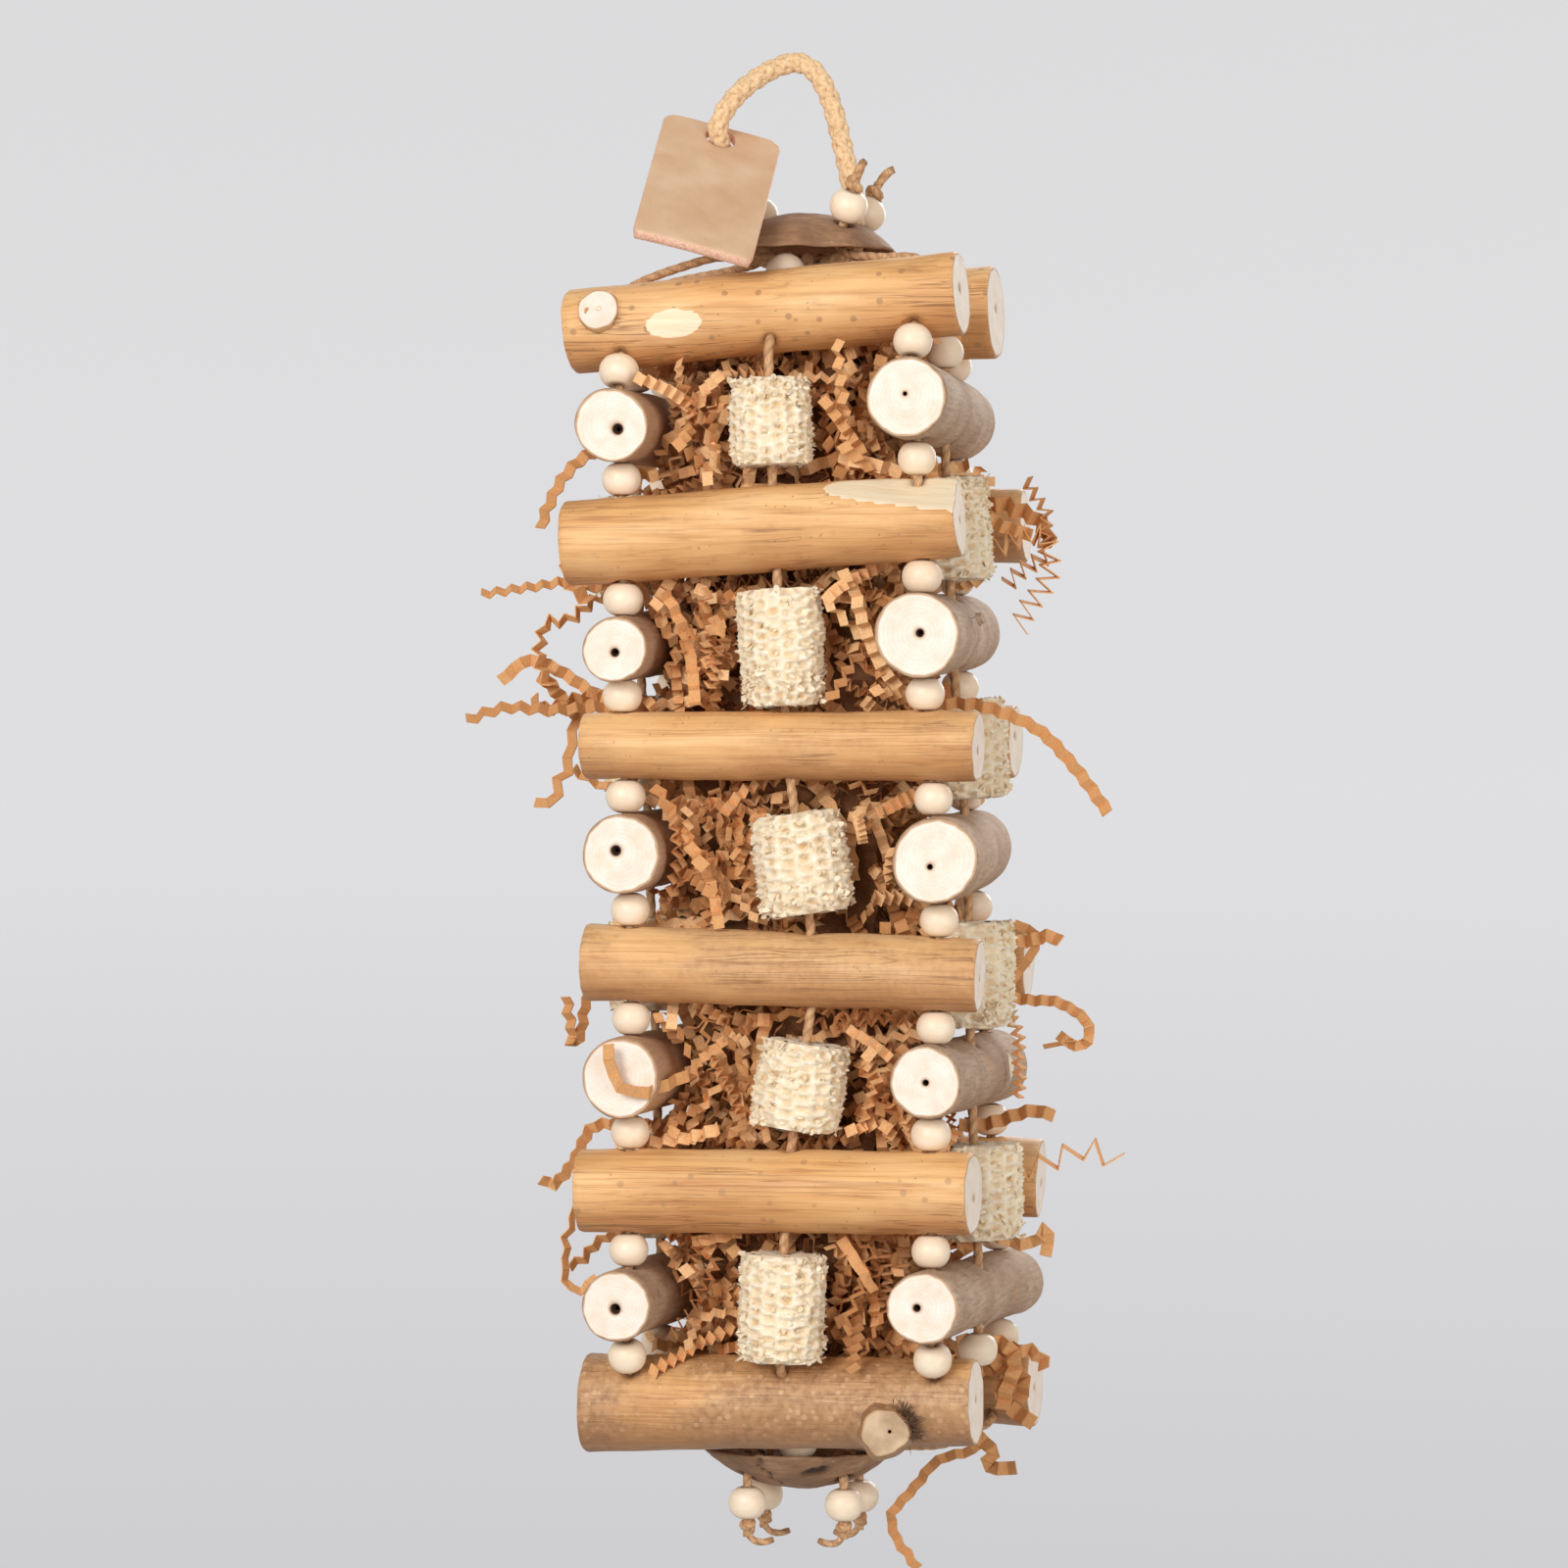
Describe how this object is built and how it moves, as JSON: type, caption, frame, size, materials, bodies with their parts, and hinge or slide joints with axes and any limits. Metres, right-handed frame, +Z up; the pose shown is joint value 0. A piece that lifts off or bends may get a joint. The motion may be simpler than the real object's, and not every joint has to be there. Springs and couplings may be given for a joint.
{
  "type": "bird foraging toy",
  "caption": "Hanging tower of natural sticks strung with beads on paper cord, with corncob slices and crinkle paper in its windows, domed shell caps and a rope loop.",
  "frame": {"origin": "the point where a hook bears under the crown of the rope loop", "axes": "+Z up along the tower, +X to the right along the front sticks, the front faces -Y"},
  "size_m": [0.1987, 0.1256, 0.4585],
  "materials": {
    "peeled_wood": "satin",
    "bark_wood": "matte",
    "corncob": "matte",
    "beads_and_cord": "satin",
    "nut_shell": "matte",
    "jute_rope": "matte",
    "leather": "satin",
    "kraft_paper": "matte"
  },
  "bodies": {
    "hanging_loop": {"hanging_rope": "jute_rope"},
    "tower": {"back_stick_1": "peeled_wood", "back_stick_2": "peeled_wood", "back_stick_3": "peeled_wood", "back_stick_4": "peeled_wood", "back_stick_5": "peeled_wood", "back_stick_6": "peeled_wood", "bottom_shell_cap": "nut_shell", "corner_string_back_left": "beads_and_cord", "corner_string_back_right": "beads_and_cord", "corner_string_front_left": "beads_and_cord", "corner_string_front_right": "beads_and_cord", "face_cord_back": "beads_and_cord", "face_cord_front": "beads_and_cord", "face_cord_left": "beads_and_cord", "face_cord_right": "beads_and_cord", "front_stick_1": "peeled_wood", "front_stick_2": "peeled_wood", "front_stick_3": "peeled_wood", "front_stick_4": "peeled_wood", "front_stick_5": "peeled_wood", "front_stick_6": "peeled_wood", "left_stick_1": "bark_wood", "left_stick_2": "bark_wood", "left_stick_3": "bark_wood", "left_stick_4": "bark_wood", "left_stick_5": "bark_wood", "paper_fill": "kraft_paper", "paper_strand_left": "kraft_paper", "paper_strand_right": "kraft_paper", "right_stick_1": "bark_wood", "right_stick_2": "bark_wood", "right_stick_3": "bark_wood", "right_stick_4": "bark_wood", "right_stick_5": "bark_wood", "rope_knot": "jute_rope", "top_shell_cap": "nut_shell"},
    "tag": {"leather_tag": "leather"},
    "front_cob_1": {"front_cob_1": "corncob"},
    "front_cob_2": {"front_cob_2": "corncob"},
    "front_cob_3": {"front_cob_3": "corncob"},
    "front_cob_4": {"front_cob_4": "corncob"},
    "front_cob_5": {"front_cob_5": "corncob"},
    "back_cob_1": {"back_cob_1": "corncob"},
    "back_cob_2": {"back_cob_2": "corncob"},
    "back_cob_3": {"back_cob_3": "corncob"},
    "back_cob_4": {"back_cob_4": "corncob"},
    "back_cob_5": {"back_cob_5": "corncob"},
    "left_cob_1": {"left_cob_1": "corncob"},
    "left_cob_2": {"left_cob_2": "corncob"},
    "left_cob_3": {"left_cob_3": "corncob"},
    "left_cob_4": {"left_cob_4": "corncob"},
    "right_cob_1": {"right_cob_1": "corncob"},
    "right_cob_2": {"right_cob_2": "corncob"},
    "right_cob_3": {"right_cob_3": "corncob"},
    "right_cob_4": {"right_cob_4": "corncob"},
    "bottom_tail_front_left": {"bottom_tail_front_left": "beads_and_cord"},
    "bottom_tail_front_right": {"bottom_tail_front_right": "beads_and_cord"},
    "bottom_tail_back_left": {"bottom_tail_back_left": "beads_and_cord"},
    "bottom_tail_back_right": {"bottom_tail_back_right": "beads_and_cord"}
  },
  "joints": [
    {"name": "tower_swing", "type": "hinge", "parent": "hanging_loop", "child": "tower", "pos_m": [0, 0, -0.046], "axis": [1, 0, 0], "range_deg": [-6, 6]},
    {"name": "tag_turn", "type": "hinge", "parent": "hanging_loop", "child": "tag", "pos_m": [-0.0243, -0.009, -0.022], "axis": [-0.0268, 0.5494, -0.8351], "range_deg": [-25, 30]},
    {"name": "front_cob_1_spin", "type": "hinge", "parent": "tower", "child": "front_cob_1", "pos_m": [-0.00028, -0.0465, -0.10994], "axis": [-0.0325, 0, 0.9995], "continuous": true},
    {"name": "front_cob_2_spin", "type": "hinge", "parent": "tower", "child": "front_cob_2", "pos_m": [0.00299, -0.0465, -0.17773], "axis": [-0.0588, 0, 0.9983], "continuous": true},
    {"name": "front_cob_3_spin", "type": "hinge", "parent": "tower", "child": "front_cob_3", "pos_m": [0.00927, -0.0465, -0.24228], "axis": [-0.1384, 0, 0.9904], "continuous": true},
    {"name": "front_cob_4_spin", "type": "hinge", "parent": "tower", "child": "front_cob_4", "pos_m": [0.00874, -0.0465, -0.3086], "axis": [0.1434, 0, 0.9897], "continuous": true},
    {"name": "front_cob_5_spin", "type": "hinge", "parent": "tower", "child": "front_cob_5", "pos_m": [0.00314, -0.0465, -0.37517], "axis": [0.0368, 0, 0.9993], "continuous": true},
    {"name": "back_cob_1_spin", "type": "hinge", "parent": "tower", "child": "back_cob_1", "pos_m": [-0.00069, 0.0465, -0.10885], "axis": [0.1223, 0, 0.9925], "continuous": true},
    {"name": "back_cob_2_spin", "type": "hinge", "parent": "tower", "child": "back_cob_2", "pos_m": [-0.00131, 0.0465, -0.1739], "axis": [-0.0811, 0, 0.9967], "continuous": true},
    {"name": "back_cob_3_spin", "type": "hinge", "parent": "tower", "child": "back_cob_3", "pos_m": [0.00408, 0.0465, -0.24023], "axis": [-0.0955, 0, 0.9954], "continuous": true},
    {"name": "back_cob_4_spin", "type": "hinge", "parent": "tower", "child": "back_cob_4", "pos_m": [0.00434, 0.0465, -0.30784], "axis": [0.0787, 0, 0.9969], "continuous": true},
    {"name": "back_cob_5_spin", "type": "hinge", "parent": "tower", "child": "back_cob_5", "pos_m": [-0.00061, 0.0465, -0.37415], "axis": [0.0803, 0, 0.9968], "continuous": true},
    {"name": "left_cob_1_spin", "type": "hinge", "parent": "tower", "child": "left_cob_1", "pos_m": [-0.05154, -0.003, -0.14498], "axis": [-0.021, 0, 0.9998], "continuous": true},
    {"name": "left_cob_2_spin", "type": "hinge", "parent": "tower", "child": "left_cob_2", "pos_m": [-0.04945, -0.003, -0.20752], "axis": [-0.0476, 0, 0.9989], "continuous": true},
    {"name": "left_cob_3_spin", "type": "hinge", "parent": "tower", "child": "left_cob_3", "pos_m": [-0.04677, -0.003, -0.27384], "axis": [-0.0364, 0, 0.9993], "continuous": true},
    {"name": "left_cob_4_spin", "type": "hinge", "parent": "tower", "child": "left_cob_4", "pos_m": [-0.04484, -0.003, -0.34178], "axis": [-0.023, 0, 0.9997], "continuous": true},
    {"name": "right_cob_1_spin", "type": "hinge", "parent": "tower", "child": "right_cob_1", "pos_m": [0.04557, -0.003, -0.14074], "axis": [-0.0395, 0, 0.9992], "continuous": true},
    {"name": "right_cob_2_spin", "type": "hinge", "parent": "tower", "child": "right_cob_2", "pos_m": [0.04928, -0.003, -0.20814], "axis": [-0.0756, 0, 0.9971], "continuous": true},
    {"name": "right_cob_3_spin", "type": "hinge", "parent": "tower", "child": "right_cob_3", "pos_m": [0.05218, -0.003, -0.27638], "axis": [-0.0143, 0, 0.9999], "continuous": true},
    {"name": "right_cob_4_spin", "type": "hinge", "parent": "tower", "child": "right_cob_4", "pos_m": [0.05407, -0.003, -0.34268], "axis": [-0.0412, 0, 0.9992], "continuous": true},
    {"name": "bottom_tail_front_left_swing", "type": "hinge", "parent": "tower", "child": "bottom_tail_front_left", "pos_m": [-0.015, -0.012, -0.4298], "axis": [1, 0, 0], "range_deg": [-15, 15]},
    {"name": "bottom_tail_front_right_swing", "type": "hinge", "parent": "tower", "child": "bottom_tail_front_right", "pos_m": [0.015, -0.012, -0.4298], "axis": [1, 0, 0], "range_deg": [-15, 15]},
    {"name": "bottom_tail_back_left_swing", "type": "hinge", "parent": "tower", "child": "bottom_tail_back_left", "pos_m": [-0.015, 0.012, -0.4298], "axis": [1, 0, 0], "range_deg": [-15, 15]},
    {"name": "bottom_tail_back_right_swing", "type": "hinge", "parent": "tower", "child": "bottom_tail_back_right", "pos_m": [0.015, 0.012, -0.4298], "axis": [1, 0, 0], "range_deg": [-15, 15]}
  ]
}
